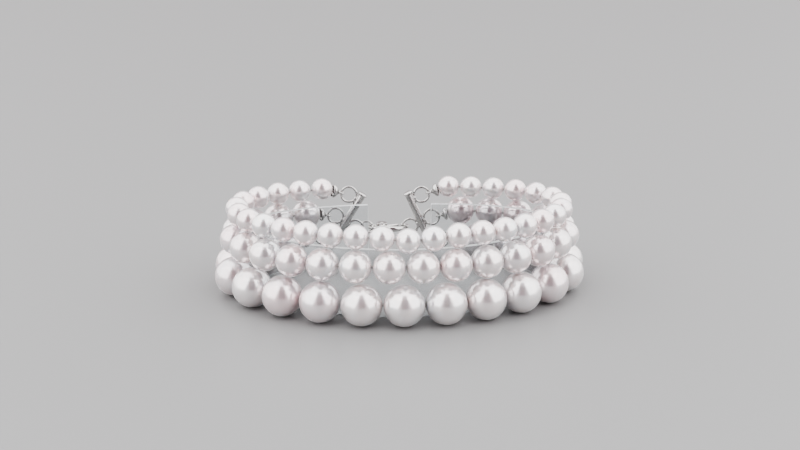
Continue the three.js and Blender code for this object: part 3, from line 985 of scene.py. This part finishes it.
class BRACELET_OT_clasp(bpy.types.Operator):
    """Makes the lobster clasp's body and the link that ties it to the left bar"""

    bl_idname = "bracelet.clasp"
    bl_label = "Clasp and Link"

    def execute(self, context):
        plan = Plan(context.scene.pearl_bracelet)
        clasp, findings = plan.settings.clasp, plan.settings.findings
        nose = clasp.rivet_to_ring + clasp.claw_play
        nose += (findings.ring_wire + NOSE_SHARE * clasp.claw_root) / 2
        sections = eased(CLAW_SECTIONS, CLAW_STEPS)
        path = [Vector((x * nose, y * nose, 0.0)) for x, y, share_of_root in sections]
        radii = [share_of_root * clasp.claw_root / 2 for x, y, share_of_root in sections]
        radii[-1] *= CLAW_END
        claw = wire(path, radii, UP, flatness=CLAW_FLATNESS, sides=CLAW_SEGMENTS)
        slot_height = clasp.lever_thickness + 2 * clasp.lever_play
        thick = slot_height + 2 * clasp.cheek
        hub = puck(clasp.hub_diameter / 2, thick, HUB_EDGE * clasp.cheek)
        to_level = Matrix.Rotation(math.pi / 2, 4, "X")
        eye = placed(round_wire(plan.eye_mean, clasp.eye_wire),
                     Matrix.Translation((-plan.eye_to_rivet, 0.0, 0.0)) @ to_level)
        edge = clasp.rivet_diameter / 2 + clasp.lever_wall + 2 * clasp.lever_play
        far = edge + clasp.hub_diameter
        slot = block((-edge, -edge, -slot_height / 2), (far, far, slot_height / 2))
        body = fused("clasp_claw", together(hub, eye, claw), CLASP_VOXEL, cut=slot)
        head = ball(RIVET_HEAD[0] * clasp.rivet_diameter, RIVET_HEAD[1])
        heads = [placed(head, Matrix.Translation(UP * height)) for height in (-thick / 2, thick / 2)]
        pin = puck(clasp.rivet_diameter / 2, thick, RIVET_EDGE)
        rivet = object_of("clasp_rivet", together(pin, *heads))
        for piece in (body, rivet):
            piece.data.transform(Matrix.Translation(RIVET))
        silvered(body, "clasp_body")
        silvered(rivet)
        link_centre = RIVET - Vector((plan.eye_to_rivet + plan.link_mean, 0.0, 0.0))
        link = round_wire(plan.link_mean, clasp.link_wire, LINK_START, LINK_SWEEP)
        lean = Matrix.Rotation(-math.pi / 4, 4, "X")
        link = object_of("clasp_jump_ring", placed(link, Matrix.Translation(link_centre) @ lean))
        silvered(link, "clasp_link")
        return {"FINISHED"}


class BRACELET_OT_clasp_lever(bpy.types.Operator):
    """Makes the clasp's sprung lever, which turns on the rivet"""

    bl_idname = "bracelet.clasp_lever"
    bl_label = "Clasp Lever"

    def execute(self, context):
        plan = Plan(context.scene.pearl_bracelet)
        clasp, findings = plan.settings.clasp, plan.settings.findings
        half = clasp.lever_thickness / 2
        bore = clasp.rivet_diameter / 2 + clasp.lever_play
        hub = puck(bore + clasp.lever_wall, clasp.lever_thickness, LEVER_EDGE * half)
        reach = clasp.rivet_to_ring - findings.ring_wire / 2 - clasp.gate_play
        tip_x, tip_y, _ = CLAW_SECTIONS[-1]
        way = Vector((tip_x, tip_y, 0.0)).normalized()
        gate_rows = eased(GATE_ROWS, SHAPE_STEPS)
        gate = wire([way * reach * run for run, _ in gate_rows], [half * wide for _, wide in gate_rows],
                    UP, flatness=GATE_FLATNESS)
        thumb_rows = eased(THUMB_ROWS, SHAPE_STEPS)
        thumb = wire([Vector((x, y, 0.0)) * clasp.thumb_reach for x, y, _ in thumb_rows],
                     [half * wide for _, _, wide in thumb_rows], UP)
        hole = puck(bore, 2 * clasp.lever_thickness, BORE_EDGE * half)
        lever = fused("clasp_gate", together(hub, gate, thumb), CLASP_VOXEL, cut=hole, passes=3)
        lever.data.transform(Matrix.Translation(RIVET))
        silvered(lever, "clasp_lever", body="lever")
        return {"FINISHED"}


def softbox(name, place, aim, width, height, power, roll=0.0):
    """A rectangular area light that faces its aim, and that the camera doesn't see."""
    lamp = linked(name, with_options(bpy.data.lights.new(name, "AREA"), shape="RECTANGLE",
                                     size=width, size_y=height, energy=power))
    turn = (Vector(aim) - Vector(place)).to_track_quat("-Z", "Y").to_matrix().to_4x4()
    lamp.matrix_world = Matrix.Translation(place) @ turn @ Matrix.Rotation(roll, 4, "Z")
    lamp.visible_camera = False


def tent_world(stage):
    """A white light tent with a dark slit at its front, which narrows upwards, and a lower and
    lighter one at its back."""
    world = bpy.data.worlds.new("Light tent")
    world.use_nodes = True
    tree = world.node_tree
    way = node(tree, "ShaderNodeTexCoord")
    parts = node(tree, "ShaderNodeSeparateXYZ", {0: way.outputs["Generated"]}).outputs
    rise = calc(tree, "ARCTAN2", parts["Z"], calc(tree, "ABSOLUTE", parts["Y"]))
    edge = calc(tree, "MULTIPLY_ADD", rise, -SLIT_TAPER, SLIT_FOOT)
    past_edge = calc(tree, "SUBTRACT", calc(tree, "ABSOLUTE", parts["X"]), edge)
    beside = ramp(tree, past_edge, -SLIT_BLUR, SLIT_BLUR, smooth=True)
    behind = ramp(tree, parts["Y"], -SLIT_BLUR, SLIT_BLUR)
    top = calc(tree, "MULTIPLY_ADD", behind, BACK_SLIT_TOP - SLIT_TOP, SLIT_TOP)
    above = ramp(tree, calc(tree, "SUBTRACT", rise, top), -SLIT_BLUR, SLIT_BLUR, smooth=True)
    lifted = calc(tree, "MULTIPLY", behind, BACK_SLIT_LIFT)
    cloth = calc(tree, "MAXIMUM", calc(tree, "MAXIMUM", beside, above), lifted)
    fed(tree, tree.nodes["Background"], {
        "Color": mixed(tree, cloth, stage.slit, stage.tent), "Strength": stage.tent_strength})
    return world


class BRACELET_OT_stage(bpy.types.Operator):
    """Lays the pale floor, hangs the soft lights and sets up the camera"""

    bl_idname = "bracelet.stage"
    bl_label = "Stage"

    def execute(self, context):
        stage = context.scene.pearl_bracelet.stage
        profile = [(0.0, -FLOOR_THICKNESS), (FLOOR_RADIUS, -FLOOR_THICKNESS),
                   (FLOOR_RADIUS, 0.0), (0.0, 0.0)]
        floor = object_of("floor", turned(profile, FLOOR_SEGMENTS))
        floor.data.materials.append(once("Pale floor", floor_shader))
        aim = Vector(stage.aim)
        for name, sign in (("left_softbox", -1), ("right_softbox", 1)):
            place = aim + SIDE_DISTANCE * Vector((
                sign * math.sin(stage.side_turn) * math.cos(stage.side_rise),
                -math.cos(stage.side_turn) * math.cos(stage.side_rise), math.sin(stage.side_rise)))
            softbox(name, place, aim, *SIDE_SIZE, stage.side_power, -sign * stage.side_roll)
        softbox("top_softbox", aim + UP * TOP_HEIGHT, aim, *TOP_SIZE, stage.top_power)
        context.scene.world = tent_world(stage)
        with_options(context.scene.view_settings, view_transform="AgX", look="AgX - High Contrast",
                     exposure=EXPOSURE)
        look = Vector((math.sin(stage.azimuth) * math.cos(stage.elevation),
                       math.cos(stage.azimuth) * math.cos(stage.elevation), -math.sin(stage.elevation)))
        lens = with_options(bpy.data.cameras.new("Camera"), lens=stage.lens, shift_x=stage.shift_x,
                            shift_y=stage.shift_y, clip_start=0.01)
        context.scene.camera = with_options(
            linked("Camera", lens), location=aim - look * stage.distance, rotation_mode="QUATERNION",
            rotation_quaternion=look.to_track_quat("-Z", "Y"))
        return {"FINISHED"}


class BRACELET_PT_panel(bpy.types.Panel):
    """Lists the bracelet's operators and its main sizes"""

    bl_idname = "BRACELET_PT_panel"
    bl_label = "Pearl Bracelet"
    bl_space_type = "VIEW_3D"
    bl_region_type = "UI"
    bl_category = "Bracelet"

    def draw(self, context):
        settings = context.scene.pearl_bracelet
        for operator in OPERATORS:
            self.layout.operator(operator.bl_idname)
        for name in ROWS:
            self.layout.prop(settings.pearls, name)
        for name in ("half_width", "front_depth", "back_depth", "height"):
            self.layout.prop(settings.band, name)
        for name in ("nacre", "rose", "cool", "silver", "plastic"):
            self.layout.prop(settings.finishes, name)


GROUPS = (BandSizes, PearlSizes, FindingSizes, ClaspSizes, Finishes, StageSettings, BraceletSettings)
OPERATORS = (
    BRACELET_OT_stage,
    BRACELET_OT_display_band,
    BRACELET_OT_strands,
    BRACELET_OT_bead_tips,
    BRACELET_OT_end_bars,
    BRACELET_OT_clasp,
    BRACELET_OT_clasp_lever,
)


def register():
    """Registers the classes and hangs the settings on the scene."""
    for kind in (*GROUPS, *OPERATORS, BRACELET_PT_panel):
        bpy.utils.register_class(kind)
    bpy.types.Scene.pearl_bracelet = PointerProperty(type=BraceletSettings)


def unregister():
    """Takes the settings and the classes away again."""
    del bpy.types.Scene.pearl_bracelet
    for kind in reversed((*GROUPS, *OPERATORS, BRACELET_PT_panel)):
        bpy.utils.unregister_class(kind)


def main():
    """Builds the whole bracelet on its stage."""
    register()
    for operator in OPERATORS:
        family, name = operator.bl_idname.split(".")
        getattr(getattr(bpy.ops, family), name)()


if __name__ == "__main__":
    main()
